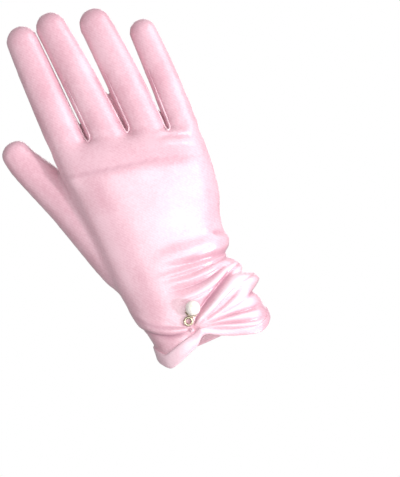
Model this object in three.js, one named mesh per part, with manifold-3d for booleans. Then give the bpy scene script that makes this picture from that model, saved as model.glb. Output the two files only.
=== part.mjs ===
// A wrist length dress glove for the right hand, held in the form that it has when it is worn.
// Millimetres. The origin is the middle of the wrist opening, +Z runs up the hand to the
// fingertips, +X towards the little finger, and the back of the hand faces -Y.
import * as THREE from 'three';
import { mergeVertices } from 'three/addons/utils/BufferGeometryUtils.js';
import Module from 'manifold-3d';

const wasm = await Module();
wasm.setup();

// Driving dimensions
const handLength = 215.5;      // from the wrist opening to the longest fingertip
const palmBreadth = 87;        // across the knuckles, with the thumb left out
const palmDepth = 30;          // from the back of the hand to the palm
const cuffHeight = 50;         // the gathered stretch over the wrist
const foldDepth = 4;           // the deepest fold of the gathers
const knuckleHeight = 129;     // where the palm ends and the fingers part
const knuckleSlope = 0.28;     // fall of that line towards the little finger
const knuckleRound = 8;        // rounding of the palm's upper edge
const rootShrink = 0.7;         // how much narrower a finger's hidden root is
const rootShare = 0.08;        // share of a finger's length that its root takes
const hollowShare = 0.10;      // where the hollow of a finger starts
const stallDrop = 9;           // how far below their parting the fingers are cut
const wall = 1.2;              // the cloth with its turned seams
const seamGap = 0.3;           // between pieces that are sewn together
const hemGrow = 0.4;           // how much the doubled hem stands out
const hemHeight = 9;           // height of the hem band
const hemPinch = 0.45;         // share of that height left where the band is gathered
const squareness = 2.2;        // exponent of the sections: 2 is an ellipse
const fourchetteDrop = 7;      // how far a fourchette reaches below the parting of two fingers
const fourchetteWidth = 8.4;   // its width at the parting
const fourchetteTip = 3.6;     // its width where it ends
const fourchetteStop = 15;     // how far below the fingertip it ends

const pearlRadius = 4.5;
const pearlHole = 0.8;
const pearlHoleDepth = 3.2;
const capWall = 0.5;
const eyeRadius = 0.95;
const eyeWire = 0.3;
const jumpRingRadius = 2.4;
const jumpRingWire = 0.45;
const tackWire = 0.35;

// Where the cuff is gathered, and where the jump ring and the pearl lie, seen from the front
const gather = { x: -8.9, z: 6.5, pull: 2.2, spread: 5 };
const ringPlace = { x: -8.6, z: 11.8 };
const pearlPlace = { x: -3.0, z: 18.0 };

// Grid of the hand's surface: close columns over the fan of folds, wider ones elsewhere
const fan = { from: -24, to: 96, columns: 25 };
const restColumns = 17;
const columns = fan.columns + restColumns;
const cuffRows = 16;
const palmRows = 5;
const roundRows = 3;
const fingerColumns = 12;

// Sections of the hand and wrist, from the hem up. z is a share of handLength, left and right
// are the edges as shares of palmBreadth, back and palm the depths as shares of palmDepth.
const sections = [
  { z: -0.080, left: -0.395, right: 0.400, back: 0.660, palm: 0.630 },
  { z: -0.020, left: -0.400, right: 0.420, back: 0.660, palm: 0.630 },
  { z: 0.030, left: -0.388, right: 0.405, back: 0.650, palm: 0.625 },
  { z: 0.095, left: -0.412, right: 0.378, back: 0.640, palm: 0.620 },
  { z: 0.135, left: -0.435, right: 0.348, back: 0.620, palm: 0.610 },
  { z: 0.180, left: -0.450, right: 0.325, back: 0.605, palm: 0.605 },
  { z: 0.235, left: -0.460, right: 0.376, back: 0.588, palm: 0.610 },
  { z: 0.300, left: -0.462, right: 0.412, back: 0.580, palm: 0.610 },
  { z: 0.360, left: -0.460, right: 0.465, back: 0.572, palm: 0.595 },
  { z: 0.445, left: -0.465, right: 0.502, back: 0.550, palm: 0.550 },
  { z: 0.515, left: -0.475, right: 0.518, back: 0.500, palm: 0.490 },
  { z: 0.600, left: -0.485, right: 0.530, back: 0.400, palm: 0.410 },
];

// Lower edge of the hem round the wrist. turn is in degrees from the middle of the back of the
// hand towards the little finger, z a share of cuffHeight.
const hemEdge = [
  { turn: -110, z: -0.060 }, { turn: -90, z: -0.040 }, { turn: -72, z: -0.110 },
  { turn: -57, z: -0.184 }, { turn: -42, z: -0.166 }, { turn: -27, z: -0.118 },
  { turn: -15, z: -0.066 }, { turn: -6, z: 0.014 }, { turn: 6, z: -0.080 },
  { turn: 20, z: -0.160 }, { turn: 45, z: -0.238 }, { turn: 64, z: -0.210 },
  { turn: 84, z: -0.120 }, { turn: 105, z: -0.090 }, { turn: 140, z: -0.100 },
  { turn: 180, z: -0.110 }, { turn: 220, z: -0.090 },
];

// Folds of the gathered cuff, each a curve over three points seen from the back of the hand.
// x is a share of palmBreadth and runs on round the edge of the hand past its left and right,
// z a share of cuffHeight. width is the half width in millimetres, rise and fall the height at
// the two ends as shares of foldDepth; a negative height is a valley.
const folds = [
  // the heel of the hand rolling over the wrist
  { x0: 0.52, z0: 0.93, xm: 0.28, zm: 0.91, x1: 0.04, z1: 1.00, width: 4.0, rise: 0.60, fall: 0.10 },
  { x0: 0.40, z0: 0.78, xm: 0.20, zm: 0.83, x1: -0.06, z1: 0.89, width: 2.2, rise: -0.50, fall: -0.25 },
  // long ridges over the wrist, from the little finger's side across
  { x0: 0.36, z0: 0.74, xm: 0.19, zm: 0.755, x1: -0.09, z1: 0.81, width: 2.4, rise: 0.10, fall: 0.35 },
  { x0: 0.46, z0: 0.60, xm: 0.20, zm: 0.63, x1: -0.01, z1: 0.67, width: 3.2, rise: 1.05, fall: 0.30 },
  { x0: 0.40, z0: 0.52, xm: 0.14, zm: 0.51, x1: -0.05, z1: 0.555, width: 2.4, rise: 0.80, fall: 0.25 },
  { x0: 0.17, z0: 0.49, xm: 0.10, zm: 0.450, x1: 0.01, z1: 0.455, width: 2.2, rise: 0.45, fall: 0.20 },
  // the valley beside the fan
  { x0: 0.35, z0: 0.54, xm: 0.17, zm: 0.41, x1: -0.04, z1: 0.24, width: 2.4, rise: -0.60, fall: -0.40 },
  // the fan of ridges from the gather to the little finger's side
  { x0: 0.47, z0: 0.38, xm: 0.24, zm: 0.375, x1: -0.07, z1: 0.17, width: 3.4, rise: 1.60, fall: 0.30 },
  { x0: 0.40, z0: 0.22, xm: 0.20, zm: 0.180, x1: -0.06, z1: 0.155, width: 2.3, rise: 0.30, fall: 0.35 },
  { x0: 0.44, z0: 0.01, xm: 0.21, zm: 0.05, x1: -0.06, z1: 0.12, width: 2.6, rise: 0.50, fall: 0.35 },
  { x0: 0.44, z0: -0.13, xm: 0.26, zm: -0.09, x1: -0.04, z1: 0.08, width: 2.3, rise: 0.35, fall: 0.25 },
  // two folds from the gather to the thumb's side
  { x0: -0.44, z0: 0.63, xm: -0.30, zm: 0.28, x1: -0.115, z1: 0.145, width: 2.8, rise: 0.35, fall: 0.40 },
  { x0: -0.40, z0: 0.33, xm: -0.27, zm: 0.16, x1: -0.12, z1: 0.125, width: 2.4, rise: -0.50, fall: -0.35 },
  // the gathers going on round the palm's side
  { x0: 0.47, z0: 0.38, xm: 0.75, zm: 0.34, x1: 1.10, z1: 0.42, width: 3.6, rise: 1.60, fall: 0.10 },
  { x0: 0.46, z0: 0.60, xm: 0.72, zm: 0.64, x1: 1.05, z1: 0.70, width: 3.4, rise: 1.05, fall: 0.10 },
  { x0: 0.44, z0: 0.01, xm: 0.72, zm: 0.10, x1: 1.05, z1: 0.14, width: 3.6, rise: 0.50, fall: 0.15 },
];

// Fingers, as quadratic curves through root, middle and tip. xs and zs are shares of
// palmBreadth and handLength, ys is in shares of palmDepth, widths and depths are full ones
// as shares of palmBreadth and palmDepth.
const fingers = {
  index: { xs: [-0.347, -0.342, -0.331], zs: [0.455, 0.728, 1.000], ys: [-0.03, 0.08, 0.42],
    widths: [0.262, 0.258, 0.204], depths: [0.82, 0.63, 0.46] },
  middle: { xs: [-0.069, -0.081, -0.117], zs: [0.510, 0.755, 1.000], ys: [-0.04, 0.07, 0.42],
    widths: [0.267, 0.250, 0.190], depths: [0.82, 0.62, 0.47] },
  ring: { xs: [0.190, 0.196, 0.173], zs: [0.490, 0.725, 0.958], ys: [-0.03, 0.09, 0.46],
    widths: [0.256, 0.252, 0.200], depths: [0.80, 0.60, 0.46] },
  little: { xs: [0.408, 0.447, 0.459], zs: [0.455, 0.668, 0.877], ys: [0.00, 0.12, 0.46],
    widths: [0.205, 0.212, 0.172], depths: [0.68, 0.54, 0.42] },
};

// The thumb, from inside the palm to the tip, in the same shares
const thumb = [
  { x: -0.215, z: 0.170, y: 0.12, width: 0.390, depth: 0.80 },
  { x: -0.285, z: 0.235, y: 0.16, width: 0.405, depth: 0.86 },
  { x: -0.350, z: 0.310, y: 0.22, width: 0.400, depth: 0.88 },
  { x: -0.430, z: 0.400, y: 0.31, width: 0.360, depth: 0.82 },
  { x: -0.518, z: 0.495, y: 0.39, width: 0.310, depth: 0.72 },
  { x: -0.608, z: 0.580, y: 0.45, width: 0.268, depth: 0.62 },
  { x: -0.682, z: 0.650, y: 0.48, width: 0.225, depth: 0.53 },
  { x: -0.722, z: 0.717, y: 0.50, width: 0.185, depth: 0.46 },
];

const radians = (degrees) => degrees * Math.PI / 180;
const mix = (a, b, t) => a + (b - a) * t;
const powered = (value) => Math.sign(value) * Math.abs(value) ** (2 / squareness);

// A smooth value between the rows of a table, by the column named key
function along(table, key, at, value) {
  let i = table.findIndex((row) => row[key] > at);
  if (i < 0) i = table.length - 1;
  i = Math.max(i, 1);
  const row = (n) => table[Math.min(Math.max(n, 0), table.length - 1)];
  const span = row(i)[key] - row(i - 1)[key];
  const t = Math.min(Math.max((at - row(i - 1)[key]) / span, 0), 1);
  const slope = (n) => (row(n + 1)[value] - row(n - 1)[value])
    / ((row(n + 1)[key] - row(n - 1)[key]) || 1) * span;
  const a = row(i - 1)[value];
  const b = row(i)[value];
  return a + slope(i - 1) * t + (3 * (b - a) - 2 * slope(i - 1) - slope(i)) * t * t
    + (slope(i - 1) + slope(i) - 2 * (b - a)) * t ** 3;
}

// The quadratic curve through three values at 0, a half and 1
function through([a, b, c], t) {
  return a * (1 - t) * (1 - 2 * t) + 4 * b * t * (1 - t) + c * t * (2 * t - 1);
}

// Each fold as a chain of points in millimetres, with the height at each point
const foldSteps = 8;
const foldLines = folds.map((fold) => Array.from({ length: foldSteps + 1 }, (_, i) => {
  const t = i / foldSteps;
  return {
    u: through([fold.x0, fold.xm, fold.x1], t) * palmBreadth,
    z: through([fold.z0, fold.zm, fold.z1], t) * cuffHeight,
    height: mix(fold.rise, fold.fall, t) * foldDepth,
    width: fold.width,
  };
}));

// Height of the folds at a place on the cuff, u running round the hand from the front view's x
function foldHeight(u, z) {
  let ridge = 0;
  let valley = 0;
  for (const line of foldLines) {
    let nearest = Infinity;
    let rise = 0;
    for (let i = 0; i < foldSteps; i += 1) {
      const [a, b] = [line[i], line[i + 1]];
      const [du, dz] = [b.u - a.u, b.z - a.z];
      const t = Math.min(Math.max(((u - a.u) * du + (z - a.z) * dz) / (du * du + dz * dz), 0), 1);
      const away = Math.hypot(u - a.u - t * du, z - a.z - t * dz);
      if (away < nearest) {
        nearest = away;
        rise = mix(a.height, b.height, t);
      }
    }
    const height = rise * Math.exp(-((nearest / line[0].width) ** 2));
    ridge = Math.max(ridge, height);
    valley = Math.min(valley, height);
  }
  const toGather = Math.hypot(u - gather.x, z - gather.z) / gather.spread;
  return ridge + valley - gather.pull * Math.exp(-(toGather ** 2));
}

// One point of the hand's surface, grown outwards by grow
function handPoint(turn, z, grow) {
  const share = z / handLength;
  const left = along(sections, 'z', share, 'left') * palmBreadth;
  const right = along(sections, 'z', share, 'right') * palmBreadth;
  const side = Math.cos(turn) > 0 ? 'back' : 'palm';
  const depth = along(sections, 'z', share, side) * palmDepth + grow;
  const middle = (left + right) / 2;
  const out = ((right - left) / 2 + grow) * powered(Math.sin(turn));
  const fore = -depth * powered(Math.cos(turn));
  let u = middle + out;
  if (side === 'palm') u = out > 0 ? 2 * right - u : 2 * left - u;
  const length = Math.hypot(out, fore);
  const height = foldHeight(u, z);
  return new THREE.Vector3(
    middle + out * (1 + height / length),
    fore * (1 + height / length),
    z,
  );
}

// Height of the hem's lower edge, and of the seam above the hem band
function hemZ(turn) {
  const degrees = THREE.MathUtils.euclideanModulo(THREE.MathUtils.radToDeg(turn) + 110, 360) - 110;
  return along(hemEdge, 'turn', degrees, 'z') * cuffHeight;
}

function bandTop(turn) {
  const degrees = THREE.MathUtils.euclideanModulo(THREE.MathUtils.radToDeg(turn) + 180, 360) - 180;
  const pinch = Math.exp(-(((degrees + 10) / 16) ** 2));
  return hemZ(turn) + hemHeight * (1 - (1 - hemPinch) * pinch);
}

const turns = Array.from({ length: columns }, (_, j) => radians(j < fan.columns
  ? mix(fan.from, fan.to, j / fan.columns)
  : mix(fan.to, fan.from + 360, (j - fan.columns) / restColumns)));

// A closed skin over rings of points, with its ends filled to their middles
function skin(rings, tip) {
  const count = rings[0].length;
  const points = rings.flat();
  const last = rings.length - 1;
  const middle = (ring) => ring.reduce((sum, p) => sum.add(p), new THREE.Vector3())
    .divideScalar(count);
  points.push(middle(rings[0]), tip ?? middle(rings[last]));
  const [foot, head] = [points.length - 2, points.length - 1];
  const faces = [];
  for (let j = 0; j < count; j += 1) {
    const k = (j + 1) % count;
    for (let i = 0; i < last; i += 1) {
      const [a, b, c, d] = [i * count + j, i * count + k, (i + 1) * count + k, (i + 1) * count + j];
      faces.push(a, b, c, a, c, d);
    }
    faces.push(foot, k, j, last * count + j, last * count + k, head);
  }
  const geometry = new THREE.BufferGeometry();
  geometry.setAttribute('position', new THREE.Float32BufferAttribute(
    points.flatMap((p) => [p.x, p.y, p.z]), 3));
  geometry.setIndex(faces);
  return geometry;
}

// A three.js shape as a solid that can be joined and cut, and back again
function solid(geometry) {
  const shape = geometry.clone();
  shape.deleteAttribute('normal');
  shape.deleteAttribute('uv');
  const merged = mergeVertices(shape, 1e-4);
  const made = new wasm.Manifold(new wasm.Mesh({
    numProp: 3,
    vertProperties: new Float32Array(merged.attributes.position.array),
    triVerts: new Uint32Array(merged.index.array),
  }));
  return made.volume() < 0 ? turnedOut(merged) : made;
}

function turnedOut(merged) {
  const index = Array.from(merged.index.array);
  for (let i = 0; i < index.length; i += 3) [index[i], index[i + 1]] = [index[i + 1], index[i]];
  return new wasm.Manifold(new wasm.Mesh({
    numProp: 3,
    vertProperties: new Float32Array(merged.attributes.position.array),
    triVerts: new Uint32Array(index),
  }));
}

function surface(made) {
  const { vertProperties, triVerts, numProp } = made.getMesh();
  const geometry = new THREE.BufferGeometry();
  const corners = [];
  for (let i = 0; i < vertProperties.length; i += numProp) {
    corners.push(vertProperties[i], vertProperties[i + 1], vertProperties[i + 2]);
  }
  geometry.setAttribute('position', new THREE.Float32BufferAttribute(corners, 3));
  geometry.setIndex(Array.from(triVerts));
  const flat = geometry.toNonIndexed();
  flat.computeVertexNormals();
  return flat;
}

const seamTop = (turn) => bandTop(turn) + seamGap;
const below = (turn) => hemZ(turn) - cuffHeight / 2;

// The palm and wrist as one closed form, from the hem band's seam to the knuckles, grown by
// grow. An open one goes on downwards through the band.
function palmForm(grow, open) {
  const shoulder = knuckleHeight - knuckleRound;
  const row = (height, inset) => turns.map((turn) => {
    const z = typeof height === 'number' ? height : height(turn);
    const point = handPoint(turn, z, grow - inset);
    const ramp = Math.min(Math.max((z - cuffHeight) / (shoulder - cuffHeight), 0), 1);
    point.z -= knuckleSlope * point.x * ramp;
    return point;
  });
  const rings = [open ? row(below, 0) : row(seamTop, 3 * wall)];
  for (let i = 0; i < cuffRows; i += 1) {
    rings.push(row((turn) => mix(seamTop(turn), cuffHeight, i / cuffRows), 0));
  }
  for (let i = 0; i <= palmRows; i += 1) {
    rings.push(row(mix(cuffHeight, shoulder, i / palmRows), 0));
  }
  for (let i = 1; i <= roundRows; i += 1) {
    const angle = radians(90 * i / roundRows);
    const rise = (knuckleRound + grow) * Math.sin(angle);
    rings.push(row(shoulder + rise, knuckleRound * (1 - Math.cos(angle))));
  }
  return skin(rings);
}

// A finger or thumb as a tube of ellipses across a curve, rounded to its tip
function tube(at, length, grow, steps) {
  const end = 1 + grow / length;
  const tipRow = at(end);
  const round = Math.max(tipRow.width / 2 + grow, 2);
  const shares = grow < 0 ? [] : [0];
  const first = grow < 0 ? hollowShare : rootShare;
  for (let i = 0; i <= steps; i += 1) {
    shares.push(mix(first, end - round / length, i / steps));
  }
  for (const angle of [28, 52, 72]) {
    shares.push(end - round / length * (1 - Math.sin(radians(angle))));
  }
  const rings = shares.map((share) => {
    const row = at(share);
    const [before, after] = [at(share - 0.02), at(share + 0.02)];
    const lean = Math.atan2(after.x - before.x, after.z - before.z);
    const away = (end - share) * length;
    const root = share < rootShare ? rootShrink : 1;
    const shrink = away < round ? Math.sqrt(1 - (1 - away / round) ** 2) : root;
    return Array.from({ length: fingerColumns }, (_, j) => {
      const turn = radians(360 * j / fingerColumns);
      const out = (row.width / 2 + grow) * shrink * Math.sin(turn);
      const fore = -(row.depth / 2 + grow) * shrink * Math.cos(turn);
      return new THREE.Vector3(
        row.x + out * Math.cos(lean),
        row.y + fore,
        row.z - out * Math.sin(lean),
      );
    });
  });
  return skin(rings, new THREE.Vector3(tipRow.x, tipRow.y, tipRow.z));
}

function fingerAt(finger) {
  return (t) => ({
    x: through(finger.xs, t) * palmBreadth,
    y: through(finger.ys, t) * palmDepth,
    z: through(finger.zs, t) * handLength,
    width: through(finger.widths, t) * palmBreadth,
    depth: through(finger.depths, t) * palmDepth,
  });
}

function fingerForm(finger, grow) {
  const length = (finger.zs[2] - finger.zs[0]) * handLength;
  return tube(fingerAt(finger), length, grow, 6);
}

const thumbRows = thumb.map((row, i) => ({ ...row, at: i / (thumb.length - 1) }));

function thumbAt(t) {
  const value = (name) => along(thumbRows, 'at', t, name);
  const past = Math.max(t - 1, 0);
  const [before, last] = thumbRows.slice(-2);
  return {
    x: (value('x') + past * (last.x - before.x) * (thumb.length - 1)) * palmBreadth,
    y: value('y') * palmDepth,
    z: (value('z') + past * (last.z - before.z) * (thumb.length - 1)) * handLength,
    width: value('width') * palmBreadth,
    depth: value('depth') * palmDepth,
  };
}

function thumbForm(grow) {
  const [first, last] = [thumb[0], thumb[thumb.length - 1]];
  const length = Math.hypot((last.x - first.x) * palmBreadth, (last.z - first.z) * handLength);
  return tube(thumbAt, length, grow, 9);
}

// A fourchette's space: the strip between the middles of two neighbouring fingers, from below
// their parting nearly to their tips, narrowing upwards
function fourchetteSpace(left, right, grow) {
  const [a, b] = [fingerAt(left), fingerAt(right)];
  const partX = (a(0.2).x + a(0.2).width / 2 + b(0.2).x - b(0.2).width / 2) / 2;
  const low = knuckleHeight - knuckleSlope * partX - fourchetteDrop - grow;
  const high = Math.min(a(1).z, b(1).z) - fourchetteStop + grow;
  const share = (finger, z) => (z - finger(0).z) / (finger(1).z - finger(0).z);
  const steps = 3;
  const heights = Array.from({ length: steps + 1 }, (_, i) => mix(low, high, i / steps));
  const across = (z, finger, side) => new THREE.Vector2(finger(share(finger, z)).x + side * grow, z);
  const wedge = plate([
    ...heights.map((z) => across(z, b, 1)),
    ...heights.toReversed().map((z) => across(z, a, -1)),
  ]);
  const half = (z) => mix(fourchetteWidth, fourchetteTip, (z - low) / (high - low)) / 2 + grow;
  const mid = (z) => (a(share(a, z)).y + b(share(b, z)).y) / 2;
  const strip = new THREE.Shape([
    ...heights.map((z) => new THREE.Vector2(mid(z) + half(z), z)),
    ...heights.toReversed().map((z) => new THREE.Vector2(mid(z) - half(z), z)),
  ]);
  const flank = new THREE.ExtrudeGeometry(strip, { depth: 3 * palmBreadth, bevelEnabled: false })
    .translate(0, 0, -1.5 * palmBreadth).rotateX(Math.PI / 2).rotateZ(Math.PI / 2);
  return wedge.intersect(solid(flank));
}

// The line between two neighbouring fingers, at some heights from below their parting
const list = Object.values(fingers);
const above = (x, drop) => knuckleHeight - knuckleSlope * x - drop;

function partingLine(i, shift) {
  const [a, b] = [fingerAt(list[i]), fingerAt(list[i + 1])];
  const at = (finger, z) => finger((z - finger(0).z) / (finger(1).z - finger(0).z));
  const x = (z) => {
    const [left, right] = [at(a, z), at(b, z)];
    return (left.x + left.width / 2 + right.x - right.width / 2) / 2 + shift;
  };
  const low = knuckleHeight - knuckleSlope * x(knuckleHeight) - 3 * stallDrop;
  return [0, 0.3, 0.55, 0.8, 1].map((t) => {
    const z = mix(low, Math.min(a(1).z, b(1).z), t);
    return new THREE.Vector2(x(z), z);
  });
}

// The space of one finger's stall, above the cut across the palm and between its neighbours
function stallSpace(i) {
  const half = seamGap / 2;
  const high = handLength + palmDepth;
  const upTo = (line) => [...line, new THREE.Vector2(line[line.length - 1].x, high)];
  const wide = 2 * palmBreadth;
  const edge = (x) => [new THREE.Vector2(x, 0), new THREE.Vector2(x, high)];
  const left = i > 0 ? upTo(partingLine(i - 1, half)) : edge(-wide);
  const right = i < list.length - 1 ? upTo(partingLine(i, -half)) : edge(wide);
  return plate([...right, ...left.toReversed()]).intersect(cutSpace(-half));
}

// Everything above the cut across the palm
function cutSpace(shift) {
  const wide = 2 * palmBreadth;
  const corner = (x) => new THREE.Vector2(x, above(x, stallDrop + shift));
  const high = 2 * handLength;
  return plate([corner(-wide), corner(wide), new THREE.Vector2(wide, high),
    new THREE.Vector2(-wide, high)]);
}

// A flat outline in X and Z, made thick from the back of the hand to the palm
function plate(outline) {
  const form = new THREE.ExtrudeGeometry(new THREE.Shape(outline), {
    depth: 4 * palmDepth, bevelEnabled: false,
  });
  return solid(form.translate(0, 0, -2 * palmDepth).rotateX(Math.PI / 2));
}

// The shell of the hand: the outer forms joined, less the inner ones
let outer = solid(palmForm(0, false));
let hollow = solid(palmForm(-wall, true)).add(solid(thumbForm(-wall)));
const handShell = outer.subtract(hollow).subtract(cutSpace(seamGap / 2));
for (const finger of list) {
  outer = outer.add(solid(fingerForm(finger, 0)));
  hollow = hollow.add(solid(fingerForm(finger, -wall)));
}
const skinned = outer.subtract(hollow);

const thumbShell = solid(thumbForm(0))
  .subtract(solid(palmForm(seamGap, true)))
  .subtract(solid(fingerForm(fingers.index, seamGap)))
  .subtract(hollow);

// The fourchettes between the fingers, and the stalls of the fingers without them
let sewn = skinned;
const fourchettes = [['index', 'middle'], ['middle', 'ring'], ['ring', 'little']].map((pair) => {
  const [left, right] = pair.map((name) => fingers[name]);
  sewn = sewn.subtract(fourchetteSpace(left, right, seamGap));
  return [`fourchette_${pair.join('_')}`, skinned.intersect(fourchetteSpace(left, right, 0))];
});
const stalls = Object.keys(fingers).map((name, i) => [
  `finger_${name}`, sewn.intersect(stallSpace(i))]);

// The hem band: a wall all round, from the hem's lower edge to the seam
function bandForm() {
  const rows = 4;
  const ring = (share, grow) => turns.map((turn) => handPoint(
    turn, mix(hemZ(turn), bandTop(turn), share), grow));
  const outside = [];
  const inside = [];
  for (let i = 0; i <= rows; i += 1) {
    outside.push(ring(i / rows, hemGrow));
    inside.push(ring(i / rows, -wall));
  }
  const loop = [...outside, ...inside.reverse(), outside[0]];
  const points = loop.flat();
  const faces = [];
  for (let i = 0; i < loop.length - 1; i += 1) {
    for (let j = 0; j < columns; j += 1) {
      const k = (j + 1) % columns;
      const [a, b] = [i * columns + j, i * columns + k];
      faces.push(a, b, b + columns, a, b + columns, a + columns);
    }
  }
  const geometry = new THREE.BufferGeometry();
  geometry.setAttribute('position', new THREE.Float32BufferAttribute(
    points.flatMap((p) => [p.x, p.y, p.z]), 3));
  geometry.setIndex(faces);
  return geometry;
}

// Depth of the cuff's face at a place seen from the front
function faceY(x, z) {
  let best = null;
  for (let degrees = -80; degrees <= 80; degrees += 1) {
    const point = handPoint(radians(degrees), z, 0);
    if (!best || Math.abs(point.x - x) < Math.abs(best.x - x)) best = point;
  }
  return best.y;
}

// The highest cloth under a round piece of the given radius
function faceUnder(x, z, radius) {
  let high = faceY(x, z);
  for (let i = 0; i < 12; i += 1) {
    const angle = radians(30 * i);
    high = Math.min(high, faceY(x + radius * Math.cos(angle), z + radius * Math.sin(angle)));
  }
  return high;
}

// The jump ring lies on the cloth, the eye of the pearl's cap stands across its wire
const ringY = faceUnder(ringPlace.x, ringPlace.z, jumpRingRadius)
  - seamGap - eyeRadius - eyeWire;
const ringMiddle = new THREE.Vector3(ringPlace.x, ringY, ringPlace.z);
const pearlY = faceUnder(pearlPlace.x, pearlPlace.z, pearlRadius / 2) - seamGap - pearlRadius;
const pearlMiddle = new THREE.Vector3(pearlPlace.x, pearlY, pearlPlace.z);
const toPearl = new THREE.Vector3(pearlPlace.x - ringPlace.x, 0, pearlPlace.z - ringPlace.z)
  .normalize();
const eyeMiddle = ringMiddle.clone().addScaledVector(toPearl, jumpRingRadius);
const dropAxis = eyeMiddle.clone().sub(pearlMiddle);
const dropLength = dropAxis.length();
dropAxis.normalize();

const jumpRing = new THREE.TorusGeometry(jumpRingRadius, jumpRingWire, 6, 20)
  .rotateX(Math.PI / 2).translate(...ringMiddle.toArray());

// The cap hugs the pearl, with a peg in its hole and an eye towards the jump ring
function capForm() {
  const inner = pearlRadius + seamGap;
  const outside = inner + capWall;
  const profile = [new THREE.Vector2(0, pearlRadius - pearlHoleDepth + 2 * seamGap)];
  const peg = pearlHole - seamGap;
  profile.push(new THREE.Vector2(peg, pearlRadius - pearlHoleDepth + 2 * seamGap));
  profile.push(new THREE.Vector2(peg, inner * Math.cos(Math.asin(peg / inner))));
  for (const angle of [16, 26, 36]) {
    profile.push(new THREE.Vector2(inner * Math.sin(radians(angle)), inner * Math.cos(radians(angle))));
  }
  for (const angle of [36, 26, 16]) {
    profile.push(new THREE.Vector2(
      outside * Math.sin(radians(angle)), outside * Math.cos(radians(angle)) + 0.1));
  }
  const neck = dropLength - eyeRadius;
  profile.push(new THREE.Vector2(0.55, outside + 0.3), new THREE.Vector2(0.4, neck));
  profile.push(new THREE.Vector2(0, neck));
  const cup = new THREE.LatheGeometry(profile.reverse(), 12);
  const eye = new THREE.TorusGeometry(eyeRadius, eyeWire, 6, 12).translate(0, dropLength, 0);
  return [cup, eye];
}

// The pearl, with the hole for the peg open towards the cap
function pearlForm() {
  const start = Math.asin(pearlHole / pearlRadius);
  const profile = [
    new THREE.Vector2(0, pearlRadius - pearlHoleDepth),
    new THREE.Vector2(pearlHole, pearlRadius - pearlHoleDepth),
  ];
  const steps = 9;
  for (let i = 0; i < steps; i += 1) {
    const angle = mix(start, Math.PI, i / steps);
    profile.push(new THREE.Vector2(pearlRadius * Math.sin(angle), pearlRadius * Math.cos(angle)));
  }
  profile.push(new THREE.Vector2(0, -pearlRadius));
  return new THREE.LatheGeometry(profile.reverse(), 16);
}

// Turns a piece built along +Y from the pearl's middle towards the eye, the eye's plane being
// upright to the jump ring's
const side = new THREE.Vector3().crossVectors(dropAxis, new THREE.Vector3(0, 1, 0)).normalize();
const dropFrame = new THREE.Matrix4()
  .makeBasis(new THREE.Vector3().crossVectors(dropAxis, side), dropAxis, side)
  .setPosition(pearlMiddle);

// The thread that holds the jump ring to the gathered cloth, with its knot
const knotSize = new THREE.Vector3(1.5, 0.9, 1.1);
const knotZ = gather.z - 0.6;
const threadReach = 1.3 * (jumpRingWire + tackWire);
const threadTop = ringPlace.z - jumpRingRadius + 1.2 * threadReach;
const threadLow = knotZ + 0.4;
const threadHalf = (threadTop - threadLow) / 2;
const threadFace = Math.min(...[0, 0.5, 1].map(
  (t) => faceY(ringPlace.x, mix(threadLow, threadTop, t))));
const threadY = Math.min(ringY, threadFace - seamGap - threadReach - tackWire / 2);
const thread = new THREE.TorusGeometry(1, 0.2, 5, 12)
  .rotateY(Math.PI / 2)
  .scale(tackWire / 0.4, threadReach, threadHalf)
  .translate(ringPlace.x, threadY, threadLow + threadHalf);
const knotFace = faceUnder(gather.x, knotZ, knotSize.x);
const knotY = Math.min(knotFace - seamGap - knotSize.y, threadY + knotSize.y / 2);
const knot = new THREE.SphereGeometry(1, 8, 5).scale(...knotSize.toArray())
  .translate(gather.x, knotY, knotZ);

const materials = {
  satin: { color: 0xf0c3d0, roughness: 0.38, metalness: 0 },
  thread: { color: 0xeab9c8, roughness: 0.6, metalness: 0 },
  metal: { color: 0xd9cfa8, roughness: 0.3, metalness: 0.9 },
  pearl: { color: 0xf3f0e0, roughness: 0.22, metalness: 0 },
};

const glove = new THREE.Group();
function piece(name, geometry, material) {
  const mesh = new THREE.Mesh(geometry, new THREE.MeshStandardMaterial(materials[material]));
  mesh.name = name;
  glove.add(mesh);
}

piece('hand_shell', surface(handShell), 'satin');
piece('thumb_shell', surface(thumbShell), 'satin');
for (const [name, form] of [...stalls, ...fourchettes]) piece(name, surface(form), 'satin');
piece('hem_band', surface(solid(bandForm())), 'satin');
piece('gather_tack', surface(solid(knot).add(solid(thread))), 'thread');
piece('jump_ring', jumpRing, 'metal');
const [cup, eye] = capForm().map((form) => solid(form.applyMatrix4(dropFrame)));
piece('pearl_cap', surface(cup.add(eye)), 'metal');
piece('pearl', pearlForm().applyMatrix4(dropFrame), 'pearl');

export default glove;
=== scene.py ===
# Looks of a wrist length dress glove: pink satin over the frame's solids. Lengths in this file
# are millimetres in the frame's axes, and MM turns them into metres where a mesh is made.
import math

import bmesh
import bpy
import numpy as np
from mathutils import Matrix, Vector
from mathutils.bvhtree import BVHTree


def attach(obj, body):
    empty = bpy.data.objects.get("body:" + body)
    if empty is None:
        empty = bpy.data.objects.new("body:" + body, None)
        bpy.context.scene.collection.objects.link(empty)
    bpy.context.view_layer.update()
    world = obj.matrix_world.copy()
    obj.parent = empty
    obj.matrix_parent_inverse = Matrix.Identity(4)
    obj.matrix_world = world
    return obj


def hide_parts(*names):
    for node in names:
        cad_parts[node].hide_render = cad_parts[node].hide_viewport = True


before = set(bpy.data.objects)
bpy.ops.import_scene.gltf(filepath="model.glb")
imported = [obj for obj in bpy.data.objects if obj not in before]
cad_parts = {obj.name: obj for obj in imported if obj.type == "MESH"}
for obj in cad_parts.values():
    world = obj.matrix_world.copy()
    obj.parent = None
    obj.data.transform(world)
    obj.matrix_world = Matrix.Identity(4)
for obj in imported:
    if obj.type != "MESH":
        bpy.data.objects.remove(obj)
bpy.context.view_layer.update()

MM = 0.001
HAND_LENGTH = 215.5
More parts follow.
